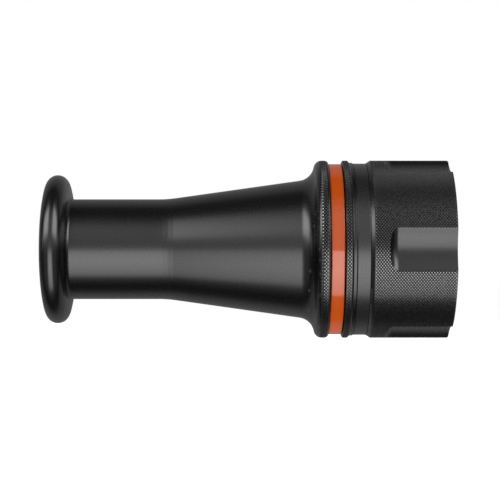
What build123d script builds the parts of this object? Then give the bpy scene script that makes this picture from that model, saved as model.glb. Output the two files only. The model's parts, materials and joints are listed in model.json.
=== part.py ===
from build123d import *
import math
import os

os.makedirs("parts", exist_ok=True)

# Fire hose nozzle: a smooth-bore tip that turns on a full-swivel hose coupling.
# X runs along the waterway. X = 0 is the inlet mouth and water leaves towards -X.
# Stations (x_...) are X positions, and radii (..._r) are measured from the X axis, in millimetres.

# ---------------------------------------------------------------- driving dimensions

# Hose thread: 1.5 inch National Hose, 9 threads per inch, female
hose_pitch = 25.4 / 9
hose_minor_r = 23.6
hose_major_r = 25.5
hose_turns = 5

# Outside
grip_r = 33.0
flow_band_r = 31.7
label_band_r = 31.9
neck_r = 18.6
total_length = 149.9
running_gap = 0.4
band_gap = 0.3

# Stations from the inlet towards the outlet
x_thread_end = -15.0
x_seat = -20.2
x_grip_front = -29.0
x_label_rear = -30.6
x_race = -33.1
x_label_front = -35.6
x_coupling_front = -39.55
x_barrel_rear = x_coupling_front - running_gap
x_shoulder_rear = -44.8
x_tail_front = -50.3
x_neck = -104.4
x_pocket = -111.9
x_flange_front = -143.6
x_spigot_front = -147.3
x_bumper = -145.1

# Bores
tail_bore_r = 25.1
gasket_recess_r = 26.3
sleeve_bore_r = 20.35
waterway_r = 19.4
pocket_r = 16.05
orifice_r = 1.125 * 25.4 / 2

# Ball race and seals
ball_r = 4.762 / 2
ball_count = 32
groove_r = 2.45
seal_section_r = 0.86

# Clearances on the radius
running_clearance = 0.06
close_clearance = 0.05
joint_clearance = 0.1

# ---------------------------------------------------------------- derived values

tail_r = tail_bore_r - running_clearance
race_r = (tail_bore_r + tail_r) / 2
x_tip = -total_length


# ---------------------------------------------------------------- shared profile helpers


def thread_turns(x_start, turns, pitch, base_r, peak_r):
    """Points of 60 degree annular ridges or grooves that run from base_r to peak_r and back."""
    half_width = abs(peak_r - base_r) * math.tan(math.radians(30))
    points = []
    for turn in range(turns):
        x = x_start - turn * pitch
        points += [(x, base_r), (x - half_width, peak_r), (x - 2 * half_width, base_r)]
    return points


def arc_about(centre, start, end):
    """Short circular arc from start to end about a given centre."""
    cx, cy = centre
    radius = math.dist(centre, start)
    mx = (start[0] + end[0]) / 2 - cx
    my = (start[1] + end[1]) / 2 - cy
    scale = radius / math.hypot(mx, my)
    return ThreePointArc(start, (cx + mx * scale, cy + my * scale), end)


def axial_plane(angle):
    """Plane through the X axis: its x runs along X and its y points outwards at angle from +Y."""
    a = math.radians(angle)
    return Plane(origin=(0, 0, 0), x_dir=(1, 0, 0), z_dir=(0, -math.sin(a), math.cos(a)))


def radial_plane(x, angle, radius):
    """Plane at a radius, facing outwards at angle from +Y."""
    a = math.radians(angle)
    outward = (0, math.cos(a), math.sin(a))
    origin = (x, radius * outward[1], radius * outward[2])
    return Plane(origin=origin, x_dir=(1, 0, 0), z_dir=outward)


# ---------------------------------------------------------------- bumper oval
# The rounded outlet end is a four-centre oval in section, shared by three pieces:
# the barrel's flange forms its back, the bumper its rim and the orifice insert its face.

oval_tip_arc_r = 4.0
oval_tip_centre_r = 23.6
oval_side_centre_r = 17.5
oval_half_width = total_length + x_bumper
oval_rise = oval_tip_centre_r - oval_side_centre_r
# The side arc that reaches the half width and is tangent to the tip arc
oval_side_arc_r = (oval_half_width**2 + oval_rise**2 - oval_tip_arc_r**2) / (
    2 * (oval_half_width - oval_tip_arc_r)
)
oval_side_offset = oval_side_arc_r - oval_half_width
back_centre = (x_bumper - oval_side_offset, oval_side_centre_r)
front_centre = (x_bumper + oval_side_offset, oval_side_centre_r)
tip_centre = (x_bumper, oval_tip_centre_r)
tip_top = (x_bumper, oval_tip_centre_r + oval_tip_arc_r)

# Where the side arcs run into the tip arc: on the line through both centres
tangent_scale = oval_side_arc_r / (oval_side_arc_r - oval_tip_arc_r)
tangent_half_width = oval_side_offset * (tangent_scale - 1)
tangent_r = oval_side_centre_r + (oval_tip_centre_r - oval_side_centre_r) * tangent_scale
back_tangent = (x_bumper + tangent_half_width, tangent_r)
front_tangent = (x_bumper - tangent_half_width, tangent_r)


def oval_reach(radius):
    """Half width of the oval's side arc at a radius."""
    return math.sqrt(oval_side_arc_r**2 - (radius - oval_side_centre_r) ** 2) - oval_side_offset


flange_r = 24.1
bumper_back_r = flange_r + joint_clearance
spigot_r = 19.6
bumper_bore_r = spigot_r + close_clearance
head_r = 21.5
bumper_front_r = head_r + joint_clearance

# ---------------------------------------------------------------- swivel coupling

gasket_recess_front = -20.0
crest_land = 0.5
mouth_chamfer = 0.4
edge_break = 0.3
label_floor_r = 31.1
land_r = 32.2
x_land_front = -36.8
x_flange_rear = -37.6
loading_hole_r = 2.6
loading_hole_angle = 270

scallop_count = 5
scallop_depth = 2.65
scallop_r = 17.7
scallop_axis_r = grip_r - scallop_depth + scallop_r
scallop_corner_r = 3.0
x_scallop_end = -23.9
x_scallop_full = x_scallop_end + scallop_corner_r
scallop_floor_r = scallop_axis_r - scallop_r
scallop_overrun = 2.0

x_first_turn = -(mouth_chamfer + crest_land)
coupling_outline = [
    (0, grip_r - mouth_chamfer),
    (-mouth_chamfer, grip_r),
    (x_grip_front, grip_r),
    (x_label_rear, label_band_r),
    (x_label_rear, label_floor_r),
    (x_label_front, label_floor_r),
    (x_label_front, land_r),
    (x_land_front, land_r),
    (x_flange_rear, grip_r),
    (x_coupling_front + edge_break, grip_r),
    (x_coupling_front, grip_r - edge_break),
    (x_coupling_front, tail_bore_r + edge_break),
    (x_coupling_front + edge_break, tail_bore_r),
    (gasket_recess_front, tail_bore_r),
    (gasket_recess_front, gasket_recess_r),
    (x_thread_end, gasket_recess_r),
    (x_thread_end, hose_minor_r),
]
coupling_outline += reversed(
    thread_turns(x_first_turn, hose_turns, hose_pitch, hose_minor_r, hose_major_r)
)
coupling_outline += [
    (-mouth_chamfer, hose_minor_r),
    (0, hose_minor_r + mouth_chamfer),
]

with BuildPart() as swivel_coupling:
    with BuildSketch():
        with BuildLine():
            Polyline(coupling_outline, close=True)
        make_face()
    revolve(axis=Axis.X)
    # Outer half of the ball race
    with BuildSketch():
        with Locations((x_race, race_r)):
            Circle(groove_r)
    revolve(axis=Axis.X, mode=Mode.SUBTRACT)
    # Hole through which the balls are loaded, under the label band
    with BuildSketch(radial_plane(x_race, loading_hole_angle, race_r)):
        Circle(loading_hole_r)
    extrude(amount=grip_r - race_r, mode=Mode.SUBTRACT)
    # Finger scallops, open at the mouth and with a rounded corner at their closed ends
    for number in range(scallop_count):
        direction = 180 + number * 360 / scallop_count
        scallop_plane = axial_plane(direction)
        with BuildSketch(scallop_plane):
            with BuildLine():
                CenterArc(
                    (x_scallop_full, scallop_floor_r + scallop_corner_r),
                    scallop_corner_r,
                    start_angle=180,
                    arc_size=90,
                )
                Polyline(
                    (x_scallop_full, scallop_floor_r),
                    (scallop_overrun, scallop_floor_r),
                    (scallop_overrun, scallop_axis_r),
                    (x_scallop_end, scallop_axis_r),
                    (x_scallop_end, scallop_floor_r + scallop_corner_r),
                )
            make_face()
        outward = scallop_plane.y_dir * scallop_axis_r
        revolve(axis=Axis(outward, (1, 0, 0)), mode=Mode.SUBTRACT)

swivel_coupling.part.label = "swivel_coupling"
export_step(swivel_coupling.part, "parts/swivel_coupling.step")

# ---------------------------------------------------------------- label band

label_side_clearance = 0.1
label_gap = 0.5
label_edge_r = 0.2
x_label_mid = (x_label_front + x_label_rear) / 2
label_width = x_label_rear - x_label_front - 2 * label_side_clearance
label_thickness = label_band_r - label_floor_r - close_clearance

with BuildPart() as label_band:
    with BuildSketch():
        with Locations((x_label_mid, label_band_r - label_thickness / 2)):
            RectangleRounded(label_width, label_thickness, label_edge_r)
    revolve(axis=Axis.X)
    # The split that lets the band spring into its groove
    with BuildSketch(Plane.XY):
        with Locations((x_label_mid, label_band_r)):
            Rectangle(label_width + 1, 4)
    extrude(amount=label_gap / 2, both=True, mode=Mode.SUBTRACT)

label_band.part.label = "label_band"
export_step(label_band.part, "parts/label_band.step")

# ---------------------------------------------------------------- race plug

plug_r = loading_hole_r - close_clearance
plug_inner_r = race_r + groove_r + 0.1
plug_outer_r = label_floor_r - 0.1
plug_socket_r = 1.25
plug_socket_depth = 1.8
plug_chamfer = 0.3

with BuildPart() as race_plug:
    with BuildSketch(radial_plane(x_race, loading_hole_angle, plug_inner_r)):
        Circle(plug_r)
    extrude(amount=plug_outer_r - plug_inner_r)
    plug_ends = race_plug.edges().filter_by(GeomType.CIRCLE)
    chamfer(plug_ends, length=plug_chamfer)
    with BuildSketch(radial_plane(x_race, loading_hole_angle, plug_outer_r)):
        RegularPolygon(plug_socket_r, 6, major_radius=False)
    extrude(amount=-plug_socket_depth, mode=Mode.SUBTRACT)

race_plug.part.label = "race_plug"
export_step(race_plug.part, "parts/race_plug.step")

# ---------------------------------------------------------------- inlet gasket

gasket_inner_r = 25.4 * 1.5625 / 2
gasket_thickness = 25.4 * 3 / 16
gasket_edge_r = 0.5
gasket_r = gasket_recess_r - joint_clearance
x_gasket_mid = (x_thread_end + gasket_recess_front) / 2

with BuildPart() as inlet_gasket:
    with BuildSketch():
        with Locations((x_gasket_mid, (gasket_inner_r + gasket_r) / 2)):
            RectangleRounded(gasket_thickness, gasket_r - gasket_inner_r, gasket_edge_r)
    revolve(axis=Axis.X)

inlet_gasket.part.label = "inlet_gasket"
export_step(inlet_gasket.part, "parts/inlet_gasket.step")

# ---------------------------------------------------------------- swivel balls

race_plane = Plane(origin=(x_race, 0, 0), x_dir=(0, 1, 0), z_dir=(1, 0, 0))

with BuildPart() as swivel_balls:
    with Locations(race_plane):
        with PolarLocations(race_r, ball_count):
            Sphere(ball_r)

swivel_balls.part.label = "swivel_balls"
export_step(swivel_balls.part, "parts/swivel_balls.step")

# ---------------------------------------------------------------- swivel tailpiece

# Joint thread between tailpiece and barrel
joint_pitch = 1.5
joint_turns = 4
joint_depth = 0.9
joint_minor_r = 24.05
x_joint_thread = -40.4
x_joint_end = -47.3
male_shift = close_clearance

tail_spigot_r = 23.2
x_sleeve_end = -46.0
tail_chamfer = 0.6

# Grooves in the tailpiece
seal_groove_width = 2.3
seal_floor_r = tail_bore_r - running_clearance - 2 * seal_section_r - 0.02
x_inner_seal = -25.6
x_outer_seal = -37.6
face_seal_section_r = 0.74
face_seal_floor_r = 21.64
face_seal_width = 1.9
x_face_seal = -48.8
clip_groove_r = 21.3
clip_groove_width = 1.2
x_clip = -22.3

tail_thread = thread_turns(
    x_joint_thread,
    joint_turns,
    joint_pitch,
    joint_minor_r - male_shift,
    joint_minor_r - male_shift + joint_depth,
)
tailpiece_outline = [
    (x_seat, sleeve_bore_r + edge_break),
    (x_seat, tail_r - edge_break),
    (x_seat - edge_break, tail_r),
    (x_barrel_rear + tail_chamfer, tail_r),
    (x_barrel_rear, joint_minor_r - male_shift),
]
tailpiece_outline += tail_thread
tailpiece_outline += [
    (x_joint_end, joint_minor_r - male_shift),
    (x_joint_end, tail_spigot_r),
    (x_tail_front + edge_break, tail_spigot_r),
    (x_tail_front, tail_spigot_r - edge_break),
    (x_tail_front, waterway_r),
    (x_sleeve_end, waterway_r),
    (x_sleeve_end, sleeve_bore_r),
    (x_seat - edge_break, sleeve_bore_r),
]

with BuildPart() as swivel_tailpiece:
    with BuildSketch():
        with BuildLine():
            Polyline(tailpiece_outline, close=True)
        make_face()
    revolve(axis=Axis.X)
    # Inner half of the ball race
    with BuildSketch():
        with Locations((x_race, race_r)):
            Circle(groove_r)
    revolve(axis=Axis.X, mode=Mode.SUBTRACT)
    # Two grooves for the sliding seals, one for the static seal and one for the clip
    with BuildSketch():
        for x_seal in (x_inner_seal, x_outer_seal):
            with Locations((x_seal, seal_floor_r)):
                Rectangle(seal_groove_width, 3, align=(Align.CENTER, Align.MIN))
        with Locations((x_face_seal, face_seal_floor_r)):
            Rectangle(face_seal_width, 3, align=(Align.CENTER, Align.MIN))
        with Locations((x_clip, clip_groove_r)):
            Rectangle(clip_groove_width, 3, align=(Align.CENTER, Align.MAX))
    revolve(axis=Axis.X, mode=Mode.SUBTRACT)

swivel_tailpiece.part.label = "swivel_tailpiece"
export_step(swivel_tailpiece.part, "parts/swivel_tailpiece.step")

# ---------------------------------------------------------------- seal rings

seal_ring_r = seal_floor_r + 0.02 + seal_section_r
face_seal_ring_r = face_seal_floor_r + 0.03 + face_seal_section_r

with BuildPart() as inner_swivel_seal:
    with BuildSketch():
        with Locations((x_inner_seal, seal_ring_r)):
            Circle(seal_section_r)
    revolve(axis=Axis.X)

inner_swivel_seal.part.label = "inner_swivel_seal"
export_step(inner_swivel_seal.part, "parts/inner_swivel_seal.step")

with BuildPart() as outer_swivel_seal:
    with BuildSketch():
        with Locations((x_outer_seal, seal_ring_r)):
            Circle(seal_section_r)
    revolve(axis=Axis.X)

outer_swivel_seal.part.label = "outer_swivel_seal"
export_step(outer_swivel_seal.part, "parts/outer_swivel_seal.step")

with BuildPart() as tailpiece_seal:
    with BuildSketch():
        with Locations((x_face_seal, face_seal_ring_r)):
            Circle(face_seal_section_r)
    revolve(axis=Axis.X)

tailpiece_seal.part.label = "tailpiece_seal"
export_step(tailpiece_seal.part, "parts/tailpiece_seal.step")

# ---------------------------------------------------------------- stream straightener

sleeve_r = sleeve_bore_r - close_clearance
x_sleeve_rear = x_clip - clip_groove_width / 2 - 0.05
x_sleeve_front = x_sleeve_end + close_clearance
vane_count = 6
vane_thickness = 1.2
vane_root_r = 1.0
x_vane_rim = -24.5
x_vane_root = -28.0
x_vane_front = -44.8
hub_r = 2.2
hub_nose = 4.0
hub_tail = 5.0
x_hub_rear = -29.5
x_hub_front = -40.5

with BuildPart() as stream_straightener:
    with BuildSketch():
        with BuildLine():
            Polyline(
                (x_sleeve_rear, sleeve_r),
                (x_sleeve_front, sleeve_r),
                (x_sleeve_front, waterway_r),
                (x_sleeve_rear - 1, waterway_r),
                (x_sleeve_rear, sleeve_r - edge_break),
                close=True,
            )
        make_face()
    revolve(axis=Axis.X)
    # Vanes with swept leading edges, from the hub to the sleeve
    for number in range(vane_count):
        with BuildSketch(axial_plane(30 + number * 360 / vane_count)):
            with BuildLine():
                Polyline(
                    (x_vane_rim, waterway_r + edge_break),
                    (x_vane_front, waterway_r + edge_break),
                    (x_vane_front, vane_root_r),
                    (x_vane_root, vane_root_r),
                    close=True,
                )
            make_face()
        extrude(amount=vane_thickness / 2, both=True)
    # Hub with a rounded nose and tail
    with BuildSketch():
        with BuildLine():
            EllipticalCenterArc((x_hub_rear, 0), hub_nose, hub_r, start_angle=0, arc_size=90)
            Line((x_hub_rear, hub_r), (x_hub_front, hub_r))
            EllipticalCenterArc((x_hub_front, 0), hub_tail, hub_r, start_angle=90, arc_size=90)
            Line((x_hub_front - hub_tail, 0), (x_hub_rear + hub_nose, 0))
        make_face()
    revolve(axis=Axis.X)

stream_straightener.part.label = "stream_straightener"
export_step(stream_straightener.part, "parts/stream_straightener.step")

# ---------------------------------------------------------------- straightener clip

clip_thickness = clip_groove_width - 0.1
clip_outer_r = clip_groove_r - close_clearance
clip_inner_r = 18.9
clip_half_gap = 14
clip_lug_angle = 20
clip_lug_ring_r = 18.3
clip_lug_r = 1.8
clip_lug_hole_r = 0.85
clip_plane = Plane(origin=(x_clip, 0, 0), x_dir=(0, 1, 0), z_dir=(1, 0, 0))

with BuildPart() as straightener_clip:
    with BuildSketch(clip_plane):
        Circle(clip_outer_r)
        Circle(clip_inner_r, mode=Mode.SUBTRACT)
        # Opening at the bottom, with a lug on each side of it
        reach = clip_outer_r + 3
        gap_half_width = reach * math.tan(math.radians(clip_half_gap))
        with BuildLine():
            Polyline((0, 0), (gap_half_width, -reach), (-gap_half_width, -reach), close=True)
        make_face(mode=Mode.SUBTRACT)
        for side in (-1, 1):
            lug_angle = math.radians(270 + side * clip_lug_angle)
            lug_centre = (clip_lug_ring_r * math.cos(lug_angle), clip_lug_ring_r * math.sin(lug_angle))
            with Locations(lug_centre):
                Circle(clip_lug_r)
                Circle(clip_lug_hole_r, mode=Mode.SUBTRACT)
    extrude(amount=clip_thickness / 2, both=True)

straightener_clip.part.label = "straightener_clip"
export_step(straightener_clip.part, "parts/straightener_clip.step")

# ---------------------------------------------------------------- barrel

band_spigot_r = 30.5
shoulder_face_r = 32.4
x_shoulder_edge = -45.4
x_shoulder_front = -49.2
x_cone_foot = -51.0
cone_foot_r = 26.12
edge_blend_r = 0.6
shoulder_blend_r = 2.8
cone_blend_r = 6.3
neck_blend_r = 42.0
flange_fillet_r = 1.5

tail_pocket_r = tail_spigot_r + close_clearance
x_tail_step = x_tail_front - close_clearance
throat_r = 15.7
x_taper_end = -110.0

# Orifice insert thread and the corner seat of its seal
insert_pitch = 1.5
insert_depth = 0.6
insert_turns = 6
x_insert_thread = -131.0
orifice_seal_section_r = 0.74
seal_corner = 2.56

# Snap groove for the flow band, and the three lock screws under it
x_snap = -40.5
snap_width = 0.5
snap_depth = 0.35
lock_screw_count = 3
lock_screw_r = 1.5
x_lock_screw = -42.35

# Fillet between neck and flange: tangent to the neck line and to the oval's back arc
fillet_centre_r = neck_r + flange_fillet_r
fillet_reach = oval_side_arc_r + flange_fillet_r
fillet_dx = math.sqrt(fillet_reach**2 - (fillet_centre_r - oval_side_centre_r) ** 2)
fillet_centre = (back_centre[0] + fillet_dx, fillet_centre_r)
fillet_share = oval_side_arc_r / fillet_reach
fillet_on_oval = (
    back_centre[0] + fillet_dx * fillet_share,
    oval_side_centre_r + (fillet_centre_r - oval_side_centre_r) * fillet_share,
)
fillet_on_neck = (fillet_centre[0], neck_r)
flange_rim_back = (x_bumper + oval_reach(flange_r), flange_r)

barrel_bore = [
    (x_flange_front, flange_r),
    (x_flange_front, spigot_r),
    (x_spigot_front, spigot_r),
    (x_spigot_front, pocket_r + seal_corner),
    (x_spigot_front + seal_corner, pocket_r),
]
barrel_bore += reversed(
    thread_turns(x_insert_thread, insert_turns, insert_pitch, pocket_r, pocket_r + insert_depth)
)
barrel_bore += [
    (x_pocket, pocket_r),
    (x_pocket, throat_r),
    (x_taper_end, throat_r),
    (x_tail_step, waterway_r),
    (x_tail_step, tail_pocket_r),
    (x_joint_end, tail_pocket_r),
    (x_joint_end, joint_minor_r),
]
barrel_bore += reversed(
    thread_turns(
        x_joint_thread, joint_turns, joint_pitch, joint_minor_r, joint_minor_r + joint_depth
    )
)
barrel_bore += [
    (x_barrel_rear, joint_minor_r),
    (x_barrel_rear, band_spigot_r - edge_break),
    (x_barrel_rear - edge_break, band_spigot_r),
    (x_shoulder_rear, band_spigot_r),
    (x_shoulder_rear, shoulder_face_r),
]

with BuildPart() as barrel:
    with BuildSketch():
        with BuildLine():
            FilletPolyline(
                (x_shoulder_rear, shoulder_face_r),
                (x_shoulder_edge, grip_r),
                (x_shoulder_front, grip_r),
                (x_cone_foot, cone_foot_r),
                (x_neck, neck_r),
                fillet_on_neck,
                radius=(edge_blend_r, shoulder_blend_r, cone_blend_r, neck_blend_r),
            )
            arc_about(fillet_centre, fillet_on_neck, fillet_on_oval)
            arc_about(back_centre, fillet_on_oval, flange_rim_back)
            Line(flange_rim_back, (x_flange_front, flange_r))
            Polyline(barrel_bore)
        make_face()
    revolve(axis=Axis.X)
    # Groove that the flow band snaps into
    with BuildSketch():
        with Locations((x_snap, band_spigot_r - snap_depth)):
            Rectangle(snap_width, 2, align=(Align.CENTER, Align.MIN))
    revolve(axis=Axis.X, mode=Mode.SUBTRACT)
    # Tapped holes for the screws that lock the tailpiece
    for number in range(lock_screw_count):
        angle = 90 + number * 360 / lock_screw_count
        with BuildSketch(radial_plane(x_lock_screw, angle, joint_minor_r - 1)):
            Circle(lock_screw_r + close_clearance)
        extrude(amount=band_spigot_r - joint_minor_r + 2, mode=Mode.SUBTRACT)

barrel.part.label = "barrel"
export_step(barrel.part, "parts/barrel.step")

# ---------------------------------------------------------------- tailpiece lock screws

lock_screw_inner_r = joint_minor_r + joint_depth + 0.05
lock_screw_outer_r = band_spigot_r - 0.2
lock_socket_r = 0.75
lock_socket_depth = 1.8
lock_screw_chamfer = 0.3

with BuildPart() as tailpiece_lock_screws:
    for number in range(lock_screw_count):
        angle = 90 + number * 360 / lock_screw_count
        with BuildSketch(radial_plane(x_lock_screw, angle, lock_screw_inner_r)):
            Circle(lock_screw_r)
        extrude(amount=lock_screw_outer_r - lock_screw_inner_r)
    chamfer(tailpiece_lock_screws.edges().filter_by(GeomType.CIRCLE), length=lock_screw_chamfer)
    for number in range(lock_screw_count):
        angle = 90 + number * 360 / lock_screw_count
        with BuildSketch(radial_plane(x_lock_screw, angle, lock_screw_outer_r)):
            RegularPolygon(lock_socket_r, 6, major_radius=False)
        extrude(amount=-lock_socket_depth, mode=Mode.SUBTRACT)

tailpiece_lock_screws.part.label = "tailpiece_lock_screws"
export_step(tailpiece_lock_screws.part, "parts/tailpiece_lock_screws.step")

# ---------------------------------------------------------------- flow band

band_edge_r = 0.4
band_bore_r = band_spigot_r + close_clearance
x_band_front = x_shoulder_rear + close_clearance
x_band_rear = x_coupling_front - band_gap
snap_rib_width = snap_width - 0.1
snap_rib_height = snap_depth - 0.05

with BuildPart() as flow_band:
    with BuildSketch():
        with BuildLine():
            FilletPolyline(
                (x_band_rear, band_bore_r),
                (x_band_rear, flow_band_r),
                (x_band_front, flow_band_r),
                (x_band_front, band_bore_r),
                (x_snap - snap_rib_width / 2, band_bore_r),
                (x_snap - snap_rib_width / 2, band_bore_r - snap_rib_height),
                (x_snap + snap_rib_width / 2, band_bore_r - snap_rib_height),
                (x_snap + snap_rib_width / 2, band_bore_r),
                radius=(0, band_edge_r, band_edge_r, 0, 0, 0, 0, 0),
                close=True,
            )
        make_face()
    revolve(axis=Axis.X)

flow_band.part.label = "flow_band"
export_step(flow_band.part, "parts/flow_band.step")

# ---------------------------------------------------------------- outlet bumper

bumper_back = (x_bumper + oval_reach(bumper_back_r), bumper_back_r)
bumper_front = (x_bumper - oval_reach(bumper_front_r), bumper_front_r)
x_lip_back = x_flange_front - close_clearance

with BuildPart() as outlet_bumper:
    with BuildSketch():
        with BuildLine():
            arc_about(back_centre, bumper_back, back_tangent)
            arc_about(tip_centre, back_tangent, tip_top)
            arc_about(tip_centre, tip_top, front_tangent)
            arc_about(front_centre, front_tangent, bumper_front)
            Polyline(
                bumper_front,
                (x_spigot_front, bumper_front_r),
                (x_spigot_front, bumper_bore_r),
                (x_lip_back, bumper_bore_r),
                (x_lip_back, bumper_back_r),
                bumper_back,
            )
        make_face()
    revolve(axis=Axis.X)

outlet_bumper.part.label = "outlet_bumper"
export_step(outlet_bumper.part, "parts/outlet_bumper.step")

# ---------------------------------------------------------------- orifice insert

insert_r = pocket_r - close_clearance
x_insert_rear = x_pocket - joint_clearance
x_head_back = x_spigot_front - close_clearance
x_bore_rear = -122.0
x_bore_front = -147.9
rim_r = 18.2
recess_r = 15.3
slot_count = 4
slot_width = 3.0
slot_depth = 1.6
slot_inner_r = 17.0

head_front = (x_bumper - oval_reach(head_r), head_r)
rim_front = (x_bumper - oval_reach(rim_r), rim_r)

insert_outline = [
    rim_front,
    (x_bore_front, recess_r),
    (x_bore_front, orifice_r),
    (x_bore_rear, orifice_r),
    (x_insert_rear, throat_r),
    (x_insert_rear, insert_r),
]
insert_outline += thread_turns(
    x_insert_thread, insert_turns, insert_pitch, insert_r, insert_r + insert_depth
)
insert_outline += [
    (x_head_back, insert_r),
    (x_head_back, head_r),
    head_front,
]

with BuildPart() as orifice_insert:
    with BuildSketch():
        with BuildLine():
            arc_about(front_centre, head_front, rim_front)
            Polyline(insert_outline)
        make_face()
    revolve(axis=Axis.X)
    # Slots for a pin spanner
    for number in range(slot_count):
        direction = 45 + number * 360 / slot_count
        with BuildSketch(axial_plane(direction)):
            with BuildLine():
                Polyline(
                    (x_tip - 1, slot_inner_r),
                    (x_tip - 1, head_r + 1),
                    (x_tip + slot_depth, head_r + 1),
                    (x_tip + slot_depth, slot_inner_r),
                    close=True,
                )
            make_face()
        extrude(amount=slot_width / 2, both=True, mode=Mode.SUBTRACT)

orifice_insert.part.label = "orifice_insert"
export_step(orifice_insert.part, "parts/orifice_insert.step")

# ---------------------------------------------------------------- orifice seal
# A ring that fills the corner between the insert's shank, its head and the barrel's chamfer

orifice_seal_ring_r = insert_r + 0.02 + orifice_seal_section_r
x_orifice_seal = x_head_back + 0.02 + orifice_seal_section_r

with BuildPart() as orifice_seal:
    with BuildSketch():
        with Locations((x_orifice_seal, orifice_seal_ring_r)):
            Circle(orifice_seal_section_r)
    revolve(axis=Axis.X)

orifice_seal.part.label = "orifice_seal"
export_step(orifice_seal.part, "parts/orifice_seal.step")
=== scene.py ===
import json
import math

import bmesh
import bpy
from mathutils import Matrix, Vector


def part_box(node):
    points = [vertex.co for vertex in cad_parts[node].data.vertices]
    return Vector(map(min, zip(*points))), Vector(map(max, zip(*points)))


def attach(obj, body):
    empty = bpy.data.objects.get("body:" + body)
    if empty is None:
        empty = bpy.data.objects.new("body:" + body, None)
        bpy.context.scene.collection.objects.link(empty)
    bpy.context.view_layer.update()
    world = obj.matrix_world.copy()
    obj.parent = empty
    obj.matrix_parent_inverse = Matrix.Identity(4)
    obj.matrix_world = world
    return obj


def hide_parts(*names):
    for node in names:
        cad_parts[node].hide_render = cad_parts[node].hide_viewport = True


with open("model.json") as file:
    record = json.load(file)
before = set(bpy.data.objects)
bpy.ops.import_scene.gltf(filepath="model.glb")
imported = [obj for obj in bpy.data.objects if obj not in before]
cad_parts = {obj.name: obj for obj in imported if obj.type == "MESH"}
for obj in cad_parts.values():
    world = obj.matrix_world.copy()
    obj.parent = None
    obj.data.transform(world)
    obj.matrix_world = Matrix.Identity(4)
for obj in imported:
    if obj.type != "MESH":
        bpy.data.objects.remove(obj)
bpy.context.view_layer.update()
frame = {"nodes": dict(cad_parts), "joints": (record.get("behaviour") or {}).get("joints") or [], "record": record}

MM = 0.001

# Lengths below are in millimetres along the nozzle's X axis and radii about it, and are scaled
# to metres when a mesh is made. The outer sizes are read from the frame.


# ---------------------------------------------------------------- sizes from the frame


def extent(node):
    """Lowest X, highest X and largest radius of a CAD node, in millimetres."""
    low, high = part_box(node)
    return low[0] / MM, high[0] / MM, high[2] / MM


coupling_front, mouth, grip_r = extent("swivel_coupling")
label_front, label_rear, label_r = extent("label_band")
band_front, band_rear, band_r = extent("flow_band")
spigot_front, barrel_rear, _ = extent("barrel")
_, _, bumper_r = extent("outlet_bumper")
tip, insert_rear, head_r = extent("orifice_insert")
x_race = frame["joints"][0]["pos_m"][0] / MM
bore_r = next(m for m in frame["record"]["mounts"] if m["name"] == "outlet_bore")["dims"]["r_mm"]
thread_minor_r = next(
    m for m in frame["record"]["mounts"] if m["name"] == "inlet_thread"
)["dims"]["r_mm"]

# ---------------------------------------------------------------- knurl

# A diamond is two half pitches long. KNURL_TOP is the flat top's share of its width, and
# KNURL_SKIN is the least height of a top above the valleys.
KNURL_AROUND = 160
SEGMENTS = 2 * KNURL_AROUND
HALF_PITCH = 0.5146
KNURL_DEPTH = 0.26
KNURL_TOP = 0.5
KNURL_IOR = 2.1
KNURL_SKIN = 0.01

# ---------------------------------------------------------------- profile helpers


def rounded(corners, closed=False, step=6.0):
    """A path through (x, r, fillet) corners, with each fillet drawn as a fine arc."""
    path = []
    count = len(corners)
    for i, (x, r, fillet) in enumerate(corners):
        here = Vector((x, r))
        at_end = not closed and i in (0, count - 1)
        if fillet <= 0 or at_end:
            path.append((x, r))
            continue
        before = Vector(corners[i - 1][:2]) - here
        after = Vector(corners[(i + 1) % count][:2]) - here
        before.normalize()
        after.normalize()
        half = before.angle(after) / 2
        reach = fillet / math.tan(half)
        centre = here + (before + after).normalized() * (fillet / math.sin(half))
        start = here + before * reach - centre
        end = here + after * reach - centre
        turn = start.angle(end)
        side = 1 if start.x * end.y - start.y * end.x > 0 else -1
        steps = max(2, math.ceil(math.degrees(turn) / step))
        base = math.atan2(start.y, start.x)
        for k in range(steps + 1):
            a = base + side * turn * k / steps
            path.append((centre.x + fillet * math.cos(a), centre.y + fillet * math.sin(a)))
    return path


def arc(centre, start, end, step=3.0):
    """Points of the short arc from start to end about a centre."""
    cx, cy = centre
    a0 = math.atan2(start[1] - cy, start[0] - cx)
    a1 = math.atan2(end[1] - cy, end[0] - cx)
    turn = (a1 - a0 + math.pi) % (2 * math.pi) - math.pi
    radius = math.dist(centre, start)
    steps = max(2, math.ceil(abs(math.degrees(turn)) / step))
    angles = [a0 + turn * k / steps for k in range(steps + 1)]
    return [(cx + radius * math.cos(a), cy + radius * math.sin(a)) for a in angles]


def supported(path, closed=False, guard=0.12):
    """Adds a point close to both ends of each long straight, so that shading stays flat on it."""
    result = []
    pairs = list(zip(path, path[1:] + path[:1])) if closed else list(zip(path, path[1:]))
    for start, end in pairs:
        result.append(start)
        length = math.dist(start, end)
        if length > 5 * guard:
            for share in (guard / length, 1 - guard / length):
                x = start[0] + (end[0] - start[0]) * share
                result.append((x, start[1] + (end[1] - start[1]) * share))
    if not closed:
        result.append(path[-1])
    return result


def thread_turns(x_start, turns, pitch, base_r, peak_r):
    """Points of annular 60 degree ridges or grooves from base_r to peak_r and back."""
    half_width = abs(peak_r - base_r) * math.tan(math.radians(30))
    points = []
    for turn in range(turns):
        x = x_start - turn * pitch
        points += [(x, base_r), (x - half_width, peak_r), (x - 2 * half_width, base_r)]
    return points


# ---------------------------------------------------------------- mesh helpers


def ring_point(x, r, j, segments=SEGMENTS):
    a = 2 * math.pi * j / segments
    return Vector((x, r * math.cos(a), r * math.sin(a))) * MM


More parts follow.
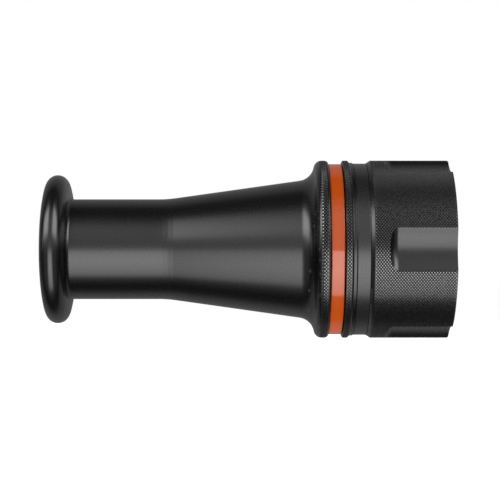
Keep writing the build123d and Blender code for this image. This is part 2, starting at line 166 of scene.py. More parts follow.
def add_turned(bm, path, closed=False, segments=SEGMENTS):
    """Adds the surface of revolution of a path about X."""
    rings = []
    for x, r in path:
        rings.append([bm.verts.new(ring_point(x, r, j, segments)) for j in range(segments)])
    pairs = list(zip(rings, rings[1:] + rings[:1])) if closed else list(zip(rings, rings[1:]))
    for first, second in pairs:
        for j in range(segments):
            k = (j + 1) % segments
            bm.faces.new((first[j], first[k], second[k], second[j]))


def add_knurl(bm, x_start, x_end, valley_r, peak_r_at):
    """Adds a diamond knurl of truncated pyramids, whose flat tops have material index 1.

    Its two end rings lie at the valley radius.
    """
    rows = max(2, round(abs(x_end - x_start) / HALF_PITCH))
    pitch = (x_end - x_start) / rows
    base = {}
    for i in range(rows + 1):
        for j in range(SEGMENTS):
            if i in (0, rows) or (i + j) % 2:
                base[i, j] = bm.verts.new(ring_point(x_start + i * pitch, valley_r, j))
    for i in range(rows + 1):
        for j in range(i % 2, SEGMENTS, 2):
            sides = [(i - 1, j), (i, j + 1), (i + 1, j), (i, j - 1)]
            if i in (0, rows):
                inner = 1 if i == 0 else rows - 1
                before, after = (j - 1) % SEGMENTS, (j + 1) % SEGMENTS
                for ends in ((before, j), (j, after)):
                    corner = [base[i, end] for end in ends] + [base[inner, j]]
                    bm.faces.new(corner)
                continue
            corners = [base[a, b % SEGMENTS] for a, b in sides]
            tops = []
            for a, b in sides:
                x = x_start + (i + (a - i) * KNURL_TOP) * pitch
                top_r = max(peak_r_at(x), valley_r + KNURL_SKIN)
                tops.append(bm.verts.new(ring_point(x, top_r, j + (b - j) * KNURL_TOP)))
            bm.faces.new(tops).material_index = 1
            for k in range(4):
                n = (k + 1) % 4
                bm.faces.new((corners[k], corners[n], tops[n], tops[k]))


def finish_mesh(name, bm, merge=0.0005 * MM):
    """Turns a bmesh into an object with outward normals, smooth except at sharp edges."""
    bmesh.ops.remove_doubles(bm, verts=bm.verts, dist=merge)
    bmesh.ops.recalc_face_normals(bm, faces=bm.faces)
    mesh = bpy.data.meshes.new(name)
    bm.to_mesh(mesh)
    bm.free()
    piece = bpy.data.objects.new(name, mesh)
    bpy.context.scene.collection.objects.link(piece)
    shade(piece)
    return piece


def dress(piece, *materials):
    """Gives a piece its materials. The second is for the flat tops of its knurl."""
    for material in materials:
        piece.data.materials.append(material)


def shade(piece, angle=28.0):
    mesh = piece.data
    mesh.shade_smooth()
    mesh.set_sharp_from_angle(angle=math.radians(angle))


def turned(name, path, material):
    bm = bmesh.new()
    add_turned(bm, supported(path, closed=True), closed=True)
    piece = finish_mesh(name, bm)
    dress(piece, material)
    return piece


def cut(piece, cutters):
    """Cuts closed meshes out of a piece and removes them."""
    tools = bpy.data.collections.new(piece.name + "_tools")
    bpy.context.scene.collection.children.link(tools)
    for cutter in cutters:
        bpy.context.scene.collection.objects.unlink(cutter)
        tools.objects.link(cutter)
    modifier = piece.modifiers.new("cut", "BOOLEAN")
    modifier.operation = "DIFFERENCE"
    modifier.operand_type = "COLLECTION"
    modifier.collection = tools
    modifier.solver = "MANIFOLD"
    graph = bpy.context.evaluated_depsgraph_get()
    mesh = bpy.data.meshes.new_from_object(piece.evaluated_get(graph))
    piece.modifiers.clear()
    old = piece.data
    piece.data = mesh
    mesh.name = piece.name
    bpy.data.meshes.remove(old)
    for cutter in cutters:
        bpy.data.objects.remove(cutter)
    bpy.data.collections.remove(tools)
    shade(piece)


def box_cutter(name, size, centre, angle):
    """A box cutter, sized (along X, radially, across), centred at (x, radius) in a direction."""
    bm = bmesh.new()
    bmesh.ops.create_cube(bm, size=1.0)
    a = math.radians(angle)
    for v in bm.verts:
        x = centre[0] + v.co.x * size[0]
        r = centre[1] + v.co.y * size[1]
        t = v.co.z * size[2]
        v.co = Vector(
            (x, r * math.cos(a) - t * math.sin(a), r * math.sin(a) + t * math.cos(a))
        ) * MM
    return finish_mesh(name, bm)


def drill_cutter(name, x, angle, radius, low_r, high_r, segments=48):
    """A radial cylinder that stands on the X axis at x, from low_r to high_r."""
    bm = bmesh.new()
    a = math.radians(angle)
    rings = []
    for r in (low_r, high_r):
        ring = []
        for k in range(segments):
            b = 2 * math.pi * k / segments
            t = radius * math.sin(b)
            ring.append(
                bm.verts.new(
                    Vector(
                        (
                            x + radius * math.cos(b),
                            r * math.cos(a) - t * math.sin(a),
                            r * math.sin(a) + t * math.cos(a),
                        )
                    )
                    * MM
                )
            )
        rings.append(ring)
    for k in range(segments):
        n = (k + 1) % segments
        bm.faces.new((rings[0][k], rings[0][n], rings[1][n], rings[1][k]))
    bm.faces.new(rings[0])
    bm.faces.new(rings[1])
    return finish_mesh(name, bm)


# ---------------------------------------------------------------- camera, light and stage

CAMERA_DISTANCE = 0.5853
CAMERA_X = -0.0736
CAMERA_Z = -0.0003
SENSOR = 36.0
LENS = 112.9


def make_camera():
    camera_data = bpy.data.cameras.new("camera")
    camera_data.sensor_width = SENSOR
    camera_data.lens = LENS
    camera = bpy.data.objects.new("camera", camera_data)
    camera.location = (CAMERA_X, -CAMERA_DISTANCE, CAMERA_Z)
    camera.rotation_euler = (math.radians(90), 0, 0)
    bpy.context.scene.collection.objects.link(camera)
    bpy.context.scene.camera = camera


make_camera()
bpy.context.scene.view_settings.view_transform = "Standard"


# What the nozzle mirrors, by the height angle of the direction seen from it: 0 is level towards
# the camera, 90 straight up, and beyond that behind the nozzle. Brightness 1 is the white backdrop.
# In front there is a low softbox, and a high one stands on each side. The levels were fitted
# to how bright the reference photograph is, so they suit the front view best.
BEHIND_BELOW = [(-180, 0.20), (-124, 0.36), (-108, 0.08), (-92, 0.02)]
BEHIND_ABOVE = [(108, 0.03), (120, 0.28), (180, 0.30)]
FRONT = [
    *BEHIND_BELOW,
    (-70, 0.25),
    (-65.5, 0.6),
    (-63.5, 2.9),
    (-45, 4.1),
    (-28, 4.9),
    (-3, 4.3),
    (-1.5, 1.0),
    (48, 1.0),
    (62, 0.45),
    (78, 0.05),
    *BEHIND_ABOVE,
]
SIDES = [
    *BEHIND_BELOW,
    (-70, 0.25),
    (-60, 0.4),
    (-4, 0.4),
    (6, 0.7),
    (22, 1.2),
    (28, 6.0),
    (66, 6.0),
    (76, 0.2),
    *BEHIND_ABOVE,
]
RAMP_PEAK = 6.0
FRONT_EDGE = (0.24, 0.42)
SIDE_END = (0.84, 0.92)
SIDE_END_DIM = 0.7
SOFT_LEVEL = 0.78
SOFT_FRONT = 0.32
SOFT_TOP = 0.2


def world_math(operation, *values):
    node = nodes.new("ShaderNodeMath")
    node.operation = operation
    for socket, value in zip(node.inputs, values):
        if isinstance(value, (int, float)):
            socket.default_value = value
        else:
            links.new(value, socket)
    return node.outputs[0]


def smooth_step(value, low, high):
    node = nodes.new("ShaderNodeMapRange")
    node.interpolation_type = "SMOOTHSTEP"
    node.inputs["From Min"].default_value = low
    node.inputs["From Max"].default_value = high
    links.new(value, node.inputs["Value"])
    return node.outputs["Result"]


def light_ramp(share, table):
    """Brightness by height angle, from a table of (degrees, brightness)."""
    ramp = nodes.new("ShaderNodeValToRGB")
    links.new(share, ramp.inputs[0])
    stops = ramp.color_ramp.elements
    while len(stops) < len(table):
        stops.new(0.5)
    for stop, (angle, radiance) in zip(stops, table):
        stop.position = angle / 360 + 0.5
        stop.color = (*[radiance / RAMP_PEAK] * 3, 1)
    return world_math("MULTIPLY", ramp.outputs[0], RAMP_PEAK)


world = bpy.data.worlds.new("studio")
bpy.context.scene.world = world
world.use_nodes = True
nodes = world.node_tree.nodes
links = world.node_tree.links
background = nodes["Background"]
background.inputs["Color"].default_value = (1, 1, 1, 1)
direction = nodes.new("ShaderNodeSeparateXYZ")
links.new(nodes.new("ShaderNodeTexCoord").outputs["Generated"], direction.inputs[0])
toward = world_math("MULTIPLY", direction.outputs["Y"], -1.0)
height = world_math("ARCTAN2", direction.outputs["Z"], toward)
share = world_math("MULTIPLY_ADD", height, 0.5 / math.pi, 0.5)
sideways = world_math("ABSOLUTE", direction.outputs["X"])
front = light_ramp(share, FRONT)
sides = light_ramp(share, SIDES)
blend = smooth_step(sideways, *FRONT_EDGE)
difference = world_math("SUBTRACT", sides, front)
mirrored = world_math("MULTIPLY_ADD", difference, blend, front)
fade = world_math("MULTIPLY_ADD", smooth_step(sideways, *SIDE_END), -SIDE_END_DIM, 1.0)
mirrored = world_math("MULTIPLY", mirrored, fade)
soft = world_math("MULTIPLY_ADD", toward, SOFT_FRONT, SOFT_LEVEL)
soft = world_math("MULTIPLY_ADD", direction.outputs["Z"], SOFT_TOP, soft)
# The mirrored light, the soft light on matt surfaces and the white backdrop, by kind of ray
ray = nodes.new("ShaderNodeLightPath")
glossy = ray.outputs["Is Glossy Ray"]
diffuse = ray.outputs["Is Diffuse Ray"]
backdrop = world_math("SUBTRACT", world_math("SUBTRACT", 1.0, glossy), diffuse)
strength = world_math("MULTIPLY_ADD", mirrored, glossy, backdrop)
strength = world_math("MULTIPLY_ADD", soft, diffuse, strength)
links.new(strength, background.inputs["Strength"])

FLOOR_Z = -0.30
bpy.ops.mesh.primitive_circle_add(vertices=64, radius=6, fill_type="NGON", location=(0, 0, FLOOR_Z))
floor = bpy.context.object
floor.name = "floor"
floor.visible_glossy = False

# ---------------------------------------------------------------- materials


def new_material(name):
    material = bpy.data.materials.new(name)
    material.use_nodes = True
    return material, material.node_tree.nodes, material.node_tree.links


def noise(nodes, links, scale, detail=3.0, stretch=(1, 1, 1)):
    """Object-space noise, in features per metre, stretched along the axes."""
    coords = nodes.new("ShaderNodeTexCoord")
    mapping = nodes.new("ShaderNodeMapping")
    mapping.inputs["Scale"].default_value = stretch
    texture = nodes.new("ShaderNodeTexNoise")
    texture.inputs["Scale"].default_value = scale
    texture.inputs["Detail"].default_value = detail
    links.new(coords.outputs["Object"], mapping.inputs["Vector"])
    links.new(mapping.outputs["Vector"], texture.inputs["Vector"])
    return texture.outputs["Fac"]


def remap(nodes, links, value, low, high, out_low, out_high):
    node = nodes.new("ShaderNodeMapRange")
    node.inputs["From Min"].default_value = low
    node.inputs["From Max"].default_value = high
    node.inputs["To Min"].default_value = out_low
    node.inputs["To Max"].default_value = out_high
    links.new(value, node.inputs["Value"])
    return node.outputs["Result"]


def tinted(nodes, links, fac, dark, light):
    mix = nodes.new("ShaderNodeMix")
    mix.data_type = "RGBA"
    mix.inputs["A"].default_value = (*dark, 1)
    mix.inputs["B"].default_value = (*light, 1)
    links.new(fac, mix.inputs["Factor"])
    return mix.outputs["Result"]


def bumped(nodes, links, height, distance, strength=1.0):
    bump = nodes.new("ShaderNodeBump")
    bump.inputs["Distance"].default_value = distance
    bump.inputs["Strength"].default_value = strength
    links.new(height, bump.inputs["Height"])
    return bump.outputs["Normal"]


def surface(name, dark, light, roughness, grain, bump, metallic=0.0, ior=1.5, stretch=(1, 1, 1)):
    """A satin surface: mottled colour, uneven roughness and a fine grain in the bump."""
    material, nodes, links = new_material(name)
    shader = nodes["Principled BSDF"]
    shader.inputs["Metallic"].default_value = metallic
    shader.inputs["IOR"].default_value = ior
    mottle = noise(nodes, links, 90, 4, stretch)
    fine = noise(nodes, links, grain, 3, stretch)
    links.new(tinted(nodes, links, mottle, dark, light), shader.inputs["Base Color"])
    rough = remap(nodes, links, fine, 0.3, 0.7, roughness[0], roughness[1])
    links.new(rough, shader.inputs["Roughness"])
    links.new(bumped(nodes, links, fine, bump), shader.inputs["Normal"])
    return material


# Painted highlight: convex edges and knurl tops get a lighter base colour, picked out by pointiness
HIGHLIGHT_POINTINESS = (0.53, 0.62)
HIGHLIGHT_SHARE = 0.35
PAINTED_HIGHLIGHT_COLOUR = (0.09, 0.09, 0.095)
ANODISED_DARK = (0.0022, 0.0022, 0.0024)
ANODISED_LIGHT = (0.0036, 0.0036, 0.0038)


def anodised_with_painted_highlight(name, roughness, bump):
    """Black hard anodising with a painted highlight: a lighter base colour on its convex edges and knurl tops."""
    material = surface(name, ANODISED_DARK, ANODISED_LIGHT, roughness, 2600, bump)
    nodes, links = material.node_tree.nodes, material.node_tree.links
    shader = nodes["Principled BSDF"]
    base = shader.inputs["Base Color"].links[0].from_socket
    geometry = nodes.new("ShaderNodeNewGeometry")
    # Mask of the painted highlight on convex edges and knurl tops
    edge = remap(nodes, links, geometry.outputs["Pointiness"], *HIGHLIGHT_POINTINESS, 0.0, HIGHLIGHT_SHARE)
    mix = nodes.new("ShaderNodeMix")
    mix.data_type = "RGBA"
    mix.inputs["B"].default_value = (*PAINTED_HIGHLIGHT_COLOUR, 1)
    links.new(edge, mix.inputs["Factor"])
    links.new(base, mix.inputs["A"])
    links.new(mix.outputs["Result"], shader.inputs["Base Color"])
    return material


anodised = anodised_with_painted_highlight("black_anodised", (0.24, 0.30), 0.0000006)
knurled = anodised_with_painted_highlight("burnished_knurl", (0.20, 0.26), 0.0000004)
knurled.node_tree.nodes["Principled BSDF"].inputs["IOR"].default_value = KNURL_IOR
bumper_finish = surface(
    "bumper_urethane", (0.0025, 0.0025, 0.0026), (0.004, 0.004, 0.0042), (0.21, 0.27), 1800, 0.000001
)
label_finish = surface(
    "label_polymer", (0.010, 0.010, 0.011), (0.014, 0.014, 0.015), (0.24, 0.32), 2200, 0.0000008
)
orange_finish = surface(
    "orange_polymer", (0.46, 0.064, 0.004), (0.51, 0.074, 0.006), (0.06, 0.10), 1500, 0.0000006
)
rubber_finish = surface(
    "seal_rubber", (0.012, 0.012, 0.012), (0.022, 0.022, 0.022), (0.55, 0.75), 2600, 0.000006
)
acetal_finish = surface(
    "acetal", (0.055, 0.056, 0.06), (0.07, 0.071, 0.075), (0.3, 0.42), 1400, 0.000003
)
turned_metal = surface(
    "clear_anodised", (0.26, 0.27, 0.28), (0.34, 0.35, 0.36), (0.26, 0.40), 300, 0.000002,
    metallic=0.85, stretch=(12, 1, 1),
)
steel_finish = surface(
    "stainless", (0.42, 0.43, 0.44), (0.56, 0.57, 0.58), (0.18, 0.32), 900, 0.000001, metallic=1.0
)
ball_finish = surface(
    "ball_steel", (0.60, 0.61, 0.63), (0.68, 0.69, 0.71), (0.04, 0.08), 600, 0.0000002, metallic=1.0
)


# ---------------------------------------------------------------- bumper oval

OVAL_TIP_R = 4.0
OVAL_SIDE_CENTRE_R = 17.5
x_bumper = -145.1
oval_half_width = x_bumper - tip
oval_tip_centre_r = bumper_r - OVAL_TIP_R
oval_rise = oval_tip_centre_r - OVAL_SIDE_CENTRE_R
oval_side_r = (oval_half_width**2 + oval_rise**2 - OVAL_TIP_R**2) / (
    2 * (oval_half_width - OVAL_TIP_R)
)
oval_offset = oval_side_r - oval_half_width
back_centre = (x_bumper - oval_offset, OVAL_SIDE_CENTRE_R)
front_centre = (x_bumper + oval_offset, OVAL_SIDE_CENTRE_R)
tip_centre = (x_bumper, oval_tip_centre_r)
tangent_share = oval_side_r / (oval_side_r - OVAL_TIP_R)
tangent_r = OVAL_SIDE_CENTRE_R + (oval_tip_centre_r - OVAL_SIDE_CENTRE_R) * tangent_share
tangent_width = oval_offset * (tangent_share - 1)


def oval_reach(r):
    """Half width of the oval's side arcs at a radius."""
    return math.sqrt(oval_side_r**2 - (r - OVAL_SIDE_CENTRE_R) ** 2) - oval_offset


# ---------------------------------------------------------------- swivel coupling

GROOVE_FLOOR_R = 31.1
LAND_R = 32.2
LABEL_GAP = 0.1
LAND_WIDTH = 1.2
FLANGE_KNURL_ROWS = 4
FLANGE_EDGE = 0.3
groove_rear = label_rear + LABEL_GAP
groove_front = label_front - LABEL_GAP
land_front = groove_front - LAND_WIDTH
MOUTH_CHAMFER = 0.4
grip_front = -29.0
valley_r = grip_r - KNURL_DEPTH
chamfer_slope = (grip_r - label_r) / (grip_front - groove_rear)


def grip_peak(x):
    """Outside of the grip, down the chamfers at its two ends."""
    front = label_r + (x - groove_rear) * chamfer_slope
    rear = grip_r - MOUTH_CHAMFER - x
    return min(grip_r, front, rear)


def flange_peak(x):
    """Outside of the front flange, down the chamfer towards the label groove."""
    return min(grip_r, LAND_R + (land_front - x), grip_r - FLANGE_EDGE + (x - coupling_front))


grip_knurl_front = groove_rear + (valley_r - label_r) / chamfer_slope
grip_knurl_rear = -(MOUTH_CHAMFER - KNURL_DEPTH)
flange_knurl_rear = land_front - (valley_r - LAND_R)
flange_knurl_front = flange_knurl_rear - FLANGE_KNURL_ROWS * HALF_PITCH

HOSE_PITCH = 25.4 / 9
HOSE_TURNS = 5
THREAD_DEPTH = 1.9
CREST_LAND = 0.5
TAIL_BORE_R = 25.1
RECESS_R = 26.3
THREAD_END = -15.0
RECESS_FRONT = -20.0
RACE_RADIUS = 2.45
RACE_PITCH_R = 25.07
RACE_CLEAR = 4.0
first_turn = mouth - MOUTH_CHAMFER - CREST_LAND


def race_arc():
    """The coupling's half of the ball race, from front to rear."""
    half = math.sqrt(RACE_RADIUS**2 - (TAIL_BORE_R - RACE_PITCH_R) ** 2)
    middle = (x_race, RACE_PITCH_R + RACE_RADIUS)
    first = arc((x_race, RACE_PITCH_R), (x_race - half, TAIL_BORE_R), middle, 9)
    second = arc((x_race, RACE_PITCH_R), middle, (x_race + half, TAIL_BORE_R), 9)
    return first + second[1:]


def make_coupling():
    bm = bmesh.new()
    add_knurl(bm, grip_knurl_front, grip_knurl_rear, valley_r, grip_peak)
    add_knurl(bm, flange_knurl_front, flange_knurl_rear, valley_r, flange_peak)
    # Between the two knurls: chamfer, land, label groove, chamfer
    middle = rounded(
        [
            (flange_knurl_rear, valley_r, 0),
            (land_front, LAND_R, 0.25),
            (groove_front, LAND_R, 0.2),
            (groove_front, GROOVE_FLOOR_R, 0.15),
            (groove_rear, GROOVE_FLOOR_R, 0.15),
            (groove_rear, label_r + 0.05, 0.1),
            (grip_knurl_front, valley_r, 0),
        ]
    )
    add_turned(bm, supported(middle))
    # Mouth, thread, gasket recess, tail bore with the ball race, front face
    inside = [(grip_knurl_rear, valley_r)]
    inside += rounded(
        [
            (grip_knurl_rear, valley_r, 0),
            (mouth, grip_r - MOUTH_CHAMFER, 0.08),
            (mouth, thread_minor_r + MOUTH_CHAMFER, 0.1),
            (mouth - MOUTH_CHAMFER, thread_minor_r, 0.05),
            (first_turn, thread_minor_r, 0),
        ]
    )[1:-1]
    inside += thread_turns(
        first_turn, HOSE_TURNS, HOSE_PITCH, thread_minor_r, thread_minor_r + THREAD_DEPTH
    )
    inside += rounded(
        [
            (THREAD_END + 0.3, thread_minor_r, 0),
            (THREAD_END, thread_minor_r, 0.1),
            (THREAD_END, RECESS_R, 0.2),
            (RECESS_FRONT, RECESS_R, 0.2),
            (RECESS_FRONT, TAIL_BORE_R, 0.1),
            (x_race + RACE_CLEAR, TAIL_BORE_R, 0),
        ]
    )
    inside += list(reversed(race_arc()))
    inside += rounded(
        [
            (x_race - RACE_CLEAR, TAIL_BORE_R, 0),
            (coupling_front + 0.3, TAIL_BORE_R, 0.1),
            (coupling_front, TAIL_BORE_R + 0.3, 0.1),
            (coupling_front, valley_r - 0.25, 0.12),
            (flange_knurl_front, valley_r, 0),
        ]
    )
    add_turned(bm, supported(inside))
    coupling = finish_mesh("coupling_shell", bm)
    dress(coupling, anodised, knurled)
    cut(coupling, [scallop_cutter(n) for n in range(SCALLOPS)] + [loading_hole()])
    return coupling


# ---------------------------------------------------------------- scallops

SCALLOPS = 5
SCALLOP_DEPTH = 2.65
SCALLOP_R = 17.7
SCALLOP_CORNER = 3.0
SCALLOP_END = -23.9
SCALLOP_FULL = SCALLOP_END + SCALLOP_CORNER
SCALLOP_LIP = 0.45
SCALLOP_FLARE = 0.8
SCALLOP_SPREAD = 1.6
SCALLOP_OVERRUN = 2.0
FLARE_REACH = 1.5
LOADING_HOLE_R = 2.6
scallop_axis_r = grip_r - SCALLOP_DEPTH + SCALLOP_R


def scallop_cutter(number, around=240, along=30):
    """A round-cornered cylinder beside the grip, flared where it leaves the metal to break the edge."""
    angle = math.radians(180 + number * 360 / SCALLOPS)
    bm = bmesh.new()
    profile = []
    for k in range(along + 1):
        t = math.pi / 2 * k / along
        r = SCALLOP_R - SCALLOP_CORNER + SCALLOP_CORNER * math.sin(t)
        profile.append((SCALLOP_FULL - SCALLOP_CORNER * math.cos(t), r))
    profile += [(SCALLOP_FULL * (1 - k / 24), SCALLOP_R) for k in range(1, 25)]
    profile.append((mouth + SCALLOP_OVERRUN, SCALLOP_R))

    def place(x, r, turn):
        across = r * math.sin(turn)
        out = scallop_axis_r - r * math.cos(turn)
        reach = math.hypot(across, out)
        rise = max(0.0, reach - (grip_r - SCALLOP_LIP))
        if rise and reach < grip_r + FLARE_REACH:
            away = Vector((x - SCALLOP_FULL if x < SCALLOP_FULL else 0.0, across * SCALLOP_SPREAD))
            if away.length > 1e-6:
                away.normalize()
                x += away.x * rise * SCALLOP_FLARE
                across += away.y * rise * SCALLOP_FLARE
        c, s = math.cos(angle), math.sin(angle)
        return Vector((x, out * c - across * s, out * s + across * c)) * MM

    rings = []
    for x, r in profile:
        rings.append(
            [bm.verts.new(place(x, r, 2 * math.pi * j / around)) for j in range(around)]
        )
    for first, second in zip(rings, rings[1:]):
        for j in range(around):
            k = (j + 1) % around
            bm.faces.new((first[j], first[k], second[k], second[j]))
    bm.faces.new(rings[0])
    bm.faces.new(rings[-1])
    return finish_mesh(f"scallop_{number}", bm)


def loading_hole():
    return drill_cutter("loading_hole", x_race, 270, LOADING_HOLE_R, RACE_PITCH_R, GROOVE_FLOOR_R + 1)


# ---------------------------------------------------------------- the replaced pieces


def make_label_band():
    inner_r = GROOVE_FLOOR_R + 0.05
    path = rounded(
        [
            (label_front, inner_r, 0.08),
            (label_front, label_r, 0.22),
            (label_rear, label_r, 0.22),
            (label_rear, inner_r, 0.08),
        ],
        closed=True,
    )
    band = turned("label_sleeve", path, label_finish)
    middle = (label_front + label_rear) / 2
    cut(band, [box_cutter("label_split", (8, 4, 0.5), (middle, label_r), 0)])
    return band


SNAP_X = -40.5
SPIGOT_R = 30.5


def make_flow_band():
    inner_r = SPIGOT_R + 0.05
    path = rounded(
        [
            (band_rear, inner_r, 0.05),
            (band_rear, band_r, 0.4),
            (band_front, band_r, 0.4),
            (band_front, inner_r, 0.05),
            (SNAP_X - 0.2, inner_r, 0),
            (SNAP_X - 0.2, inner_r - 0.3, 0.05),
            (SNAP_X + 0.2, inner_r - 0.3, 0.05),
            (SNAP_X + 0.2, inner_r, 0),
        ],
        closed=True,
    )
    return turned("flow_ring", path, orange_finish)


SHOULDER_REAR = -44.8
SHOULDER_FACE_R = 32.4
SHOULDER_EDGE = -45.4
SHOULDER_FRONT = -49.2
CONE_FOOT = -51.0
CONE_FOOT_R = 26.12
NECK = -104.4
NECK_R = 18.6
SHOULDER_BLEND = 2.8
CONE_BLEND = 6.3
NECK_BLEND = 42.0
FLANGE_FILLET = 1.5
FLANGE_R = 24.1
FLANGE_FRONT = -143.6
NOSE_R = 19.6
POCKET_R = 16.05
POCKET = -111.9
THROAT_R = 15.7
WATERWAY_R = 19.4
JOINT_R = 24.05
TAIL_POCKET_R = 23.25
TAIL_STEP = -50.35
TAIL_RELIEF = -47.3
JOINT_FRONT = -47.0
JOINT_START = -40.4
JOINT_TURNS = 4
JOINT_DEPTH = 0.9
FINE_PITCH = 1.5
INSERT_REAR = -128.0
INSERT_START = -131.0
INSERT_TURNS = 6
INSERT_DEPTH = 0.6
POCKET_FRONT = -143.0
POCKET_MOUTH = 2.56
THROAT_REAR = -110.0
LOCK_HOLE_X = -42.35
LOCK_HOLE_R = 1.55
shoulder_path = rounded(
    [
        (SHOULDER_EDGE, grip_r, 0),
        (SHOULDER_FRONT, grip_r, SHOULDER_BLEND),
        (CONE_FOOT, CONE_FOOT_R, CONE_BLEND),
        (NECK, NECK_R, NECK_BLEND),
        (x_bumper, NECK_R, 0),
    ],
    step=3.0,
)


def shoulder_peak(x):
    """Outside radius of the shoulder at x, along its rounded front edge."""
    for (x0, r0), (x1, r1) in zip(shoulder_path, shoulder_path[1:]):
        if x1 <= x <= x0:
            return r0 + (r1 - r0) * (x - x0) / (x1 - x0)
    return grip_r


def make_barrel():
    bm = bmesh.new()
    knurl_rear = SHOULDER_EDGE - 0.1
    fade = SHOULDER_BLEND - KNURL_DEPTH
    blend_start = SHOULDER_FRONT + SHOULDER_BLEND * math.tan(
        math.atan2(grip_r - CONE_FOOT_R, SHOULDER_FRONT - CONE_FOOT) / 2
    )
    knurl_front = blend_start - math.sqrt(SHOULDER_BLEND**2 - fade**2)
    add_knurl(bm, knurl_front, knurl_rear, valley_r, shoulder_peak)
    # Outside, from the front of the knurl to the flange
    outer = [(knurl_front, valley_r)]
    outer += [p for p in shoulder_path[:-1] if p[0] < knurl_front - 0.02]
    centre_r = NECK_R + FLANGE_FILLET
    reach = oval_side_r + FLANGE_FILLET
    dx = math.sqrt(reach**2 - (centre_r - OVAL_SIDE_CENTRE_R) ** 2)
    share = oval_side_r / reach
    on_oval = (
        back_centre[0] + dx * share,
        OVAL_SIDE_CENTRE_R + (centre_r - OVAL_SIDE_CENTRE_R) * share,
    )
    fillet_centre = (back_centre[0] + dx, centre_r)
    outer += arc(fillet_centre, (fillet_centre[0], NECK_R), on_oval, 5)
    rim = (x_bumper + oval_reach(FLANGE_R - 0.1), FLANGE_R - 0.1)
    outer += arc(back_centre, on_oval, rim, 1.0)[1:]
    # Flange rim, nose, insert pocket and waterway
    outer += rounded(
        [
            (rim[0] - 0.1, FLANGE_R, 0),
            (FLANGE_FRONT, FLANGE_R, 0.15),
            (FLANGE_FRONT, NOSE_R, 0.1),
            (spigot_front, NOSE_R, 0.15),
            (spigot_front, POCKET_R + POCKET_MOUTH, 0.1),
            (spigot_front + POCKET_MOUTH, POCKET_R, 0.1),
            (POCKET_FRONT, POCKET_R, 0),
        ]
    )
    insert_thread = thread_turns(
        INSERT_START, INSERT_TURNS, FINE_PITCH, POCKET_R, POCKET_R + INSERT_DEPTH
    )
    outer += list(reversed(insert_thread))
    outer += rounded(
        [
            (INSERT_REAR, POCKET_R, 0),
            (POCKET, POCKET_R, 0.1),
            (POCKET, THROAT_R, 0.1),
            (THROAT_REAR, THROAT_R, 4.0),
            (TAIL_STEP, WATERWAY_R, 0.1),
            (TAIL_STEP, TAIL_POCKET_R, 0.1),
            (TAIL_RELIEF, TAIL_POCKET_R, 0.1),
            (TAIL_RELIEF, JOINT_R, 0.1),
            (JOINT_FRONT, JOINT_R, 0),
        ]
    )
    joint_thread = thread_turns(
        JOINT_START, JOINT_TURNS, FINE_PITCH, JOINT_R, JOINT_R + JOINT_DEPTH
    )
    outer += list(reversed(joint_thread))
    # Rear face, the seat of the flow band and the shoulder's chamfer
    outer += rounded(
        [
            (barrel_rear - 0.2, JOINT_R, 0),
            (barrel_rear, JOINT_R, 0.1),
            (barrel_rear, SPIGOT_R, 0.25),
            (SNAP_X + 0.25, SPIGOT_R, 0),
            (SNAP_X + 0.25, SPIGOT_R - 0.35, 0),
            (SNAP_X - 0.25, SPIGOT_R - 0.35, 0),
            (SNAP_X - 0.25, SPIGOT_R, 0),
            (SHOULDER_REAR, SPIGOT_R, 0),
            (SHOULDER_REAR, SHOULDER_FACE_R, 0.15),
            (SHOULDER_EDGE, grip_r - 0.02, 0.2),
            (knurl_rear, valley_r, 0),
        ]
    )
    add_turned(bm, supported(outer))
    barrel = finish_mesh("barrel_body", bm)
    dress(barrel, anodised, knurled)
    holes = [
        drill_cutter(
            f"lock_hole_{n}", LOCK_HOLE_X, 90 + 120 * n, LOCK_HOLE_R, JOINT_R - 1, SPIGOT_R + 0.6
        )
        for n in range(3)
    ]
    cut(barrel, holes)
    return barrel


def make_bumper():
    back_r = FLANGE_R + 0.1
    front_r = head_r + 0.1
    back_tangent = (x_bumper + tangent_width, tangent_r)
    front_tangent = (x_bumper - tangent_width, tangent_r)
    top = (x_bumper, bumper_r)
    path = [(x_bumper + oval_reach(back_r + 0.1) - 0.12, back_r)]
    path += arc(back_centre, (x_bumper + oval_reach(back_r + 0.12), back_r + 0.12), back_tangent, 1)
    path += arc(tip_centre, back_tangent, top, 4)[1:]
    path += arc(tip_centre, top, front_tangent, 4)[1:]
    path += arc(
        front_centre, front_tangent, (x_bumper - oval_reach(front_r + 0.12), front_r + 0.12), 1
    )[1:]
    path += [(x_bumper - oval_reach(front_r + 0.1) + 0.12, front_r)]
    path += rounded(
        [
            (spigot_front - 1.0, front_r, 0),
            (spigot_front, front_r, 0.15),
            (spigot_front, NOSE_R + 0.05, 0.1),
            (FLANGE_FRONT - 0.05, NOSE_R + 0.05, 0.1),
            (FLANGE_FRONT - 0.05, back_r, 0.15),
            (FLANGE_FRONT + 1.0, back_r, 0),
        ]
    )
    return turned("bumper_ring", path, bumper_finish)


RIM_R = 18.2
RECESS_FOOT_R = 15.3
BORE_FRONT = -147.9
BORE_REAR = -122.0
INSERT_SHOULDER = -142.0
SLOT_SIZE = (4.2, 5.6, 3.0)
SLOT_R = 19.8


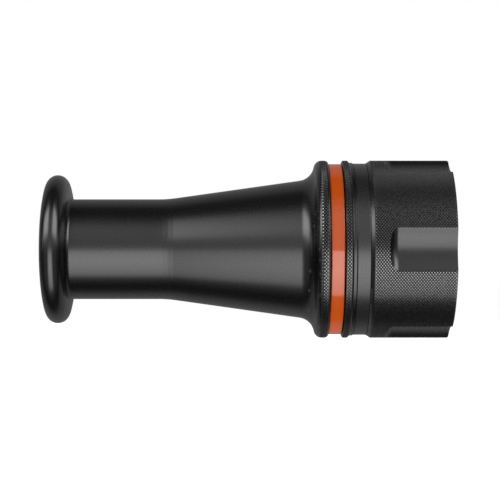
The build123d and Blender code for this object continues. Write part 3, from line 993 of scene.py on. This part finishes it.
def make_insert():
    shank_r = POCKET_R - 0.05
    head_back = spigot_front - 0.05
    rim = (x_bumper - oval_reach(RIM_R + 0.15), RIM_R + 0.15)
    edge = (x_bumper - oval_reach(head_r - 0.12), head_r - 0.12)
    path = arc(front_centre, edge, rim, 1.0)
    path += rounded(
        [
            (rim[0] + 0.12, RIM_R, 0),
            (BORE_FRONT, RECESS_FOOT_R, 0.2),
            (BORE_FRONT, bore_r, 0.04),
            (BORE_REAR, bore_r, 6.0),
            (insert_rear, THROAT_R, 0.05),
            (insert_rear, shank_r, 0.05),
            (INSERT_REAR, shank_r, 0),
        ]
    )
    path += thread_turns(
        INSERT_START, INSERT_TURNS, FINE_PITCH, shank_r, shank_r + INSERT_DEPTH
    )
    path += rounded(
        [
            (INSERT_SHOULDER, shank_r, 0),
            (head_back, shank_r, 0.1),
            (head_back, head_r, 0.1),
            (edge[0] + 0.14, head_r, 0),
        ]
    )
    insert = turned("orifice_tip", path, anodised)
    slots = [
        box_cutter(f"slot_{n}", SLOT_SIZE, (tip - 0.5, SLOT_R), 45 + 90 * n) for n in range(4)
    ]
    cut(insert, slots)
    return insert


coupling = make_coupling()
label = make_label_band()
band = make_flow_band()
barrel = make_barrel()
bumper = make_bumper()
insert = make_insert()

for piece, node, body, slot in (
    (coupling, "swivel_coupling", "coupling", "black_anodised"),
    (label, "label_band", "coupling", "label_polymer"),
    (band, "flow_band", "nozzle", "orange_polymer"),
    (barrel, "barrel", "nozzle", "black_anodised"),
    (bumper, "outlet_bumper", "nozzle", "bumper_urethane"),
    (insert, "orifice_insert", "nozzle", "black_anodised"),
):
    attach(piece, body)
    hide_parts(node)

# ---------------------------------------------------------------- CAD nodes that keep their shape

finishes = {
    "race_plug": steel_finish,
    "inlet_gasket": rubber_finish,
    "swivel_balls": ball_finish,
    "swivel_tailpiece": turned_metal,
    "tailpiece_seal": rubber_finish,
    "tailpiece_lock_screws": steel_finish,
    "orifice_seal": rubber_finish,
    "stream_straightener": acetal_finish,
    "straightener_clip": steel_finish,
    "inner_swivel_seal": rubber_finish,
    "outer_swivel_seal": rubber_finish,
}
for node, finish in finishes.items():
    for slot in frame["nodes"][node].material_slots:
        slot.material = finish

pale, floor_nodes, _ = new_material("pale_floor")
floor_shader = floor_nodes["Principled BSDF"]
floor_shader.inputs["Roughness"].default_value = 0.9
floor_shader.inputs["Base Color"].default_value = (0.98, 0.98, 0.98, 1)
floor_shader.inputs["Emission Color"].default_value = (1, 1, 1, 1)
floor_shader.inputs["Emission Strength"].default_value = 0.3
dress(floor, pale)
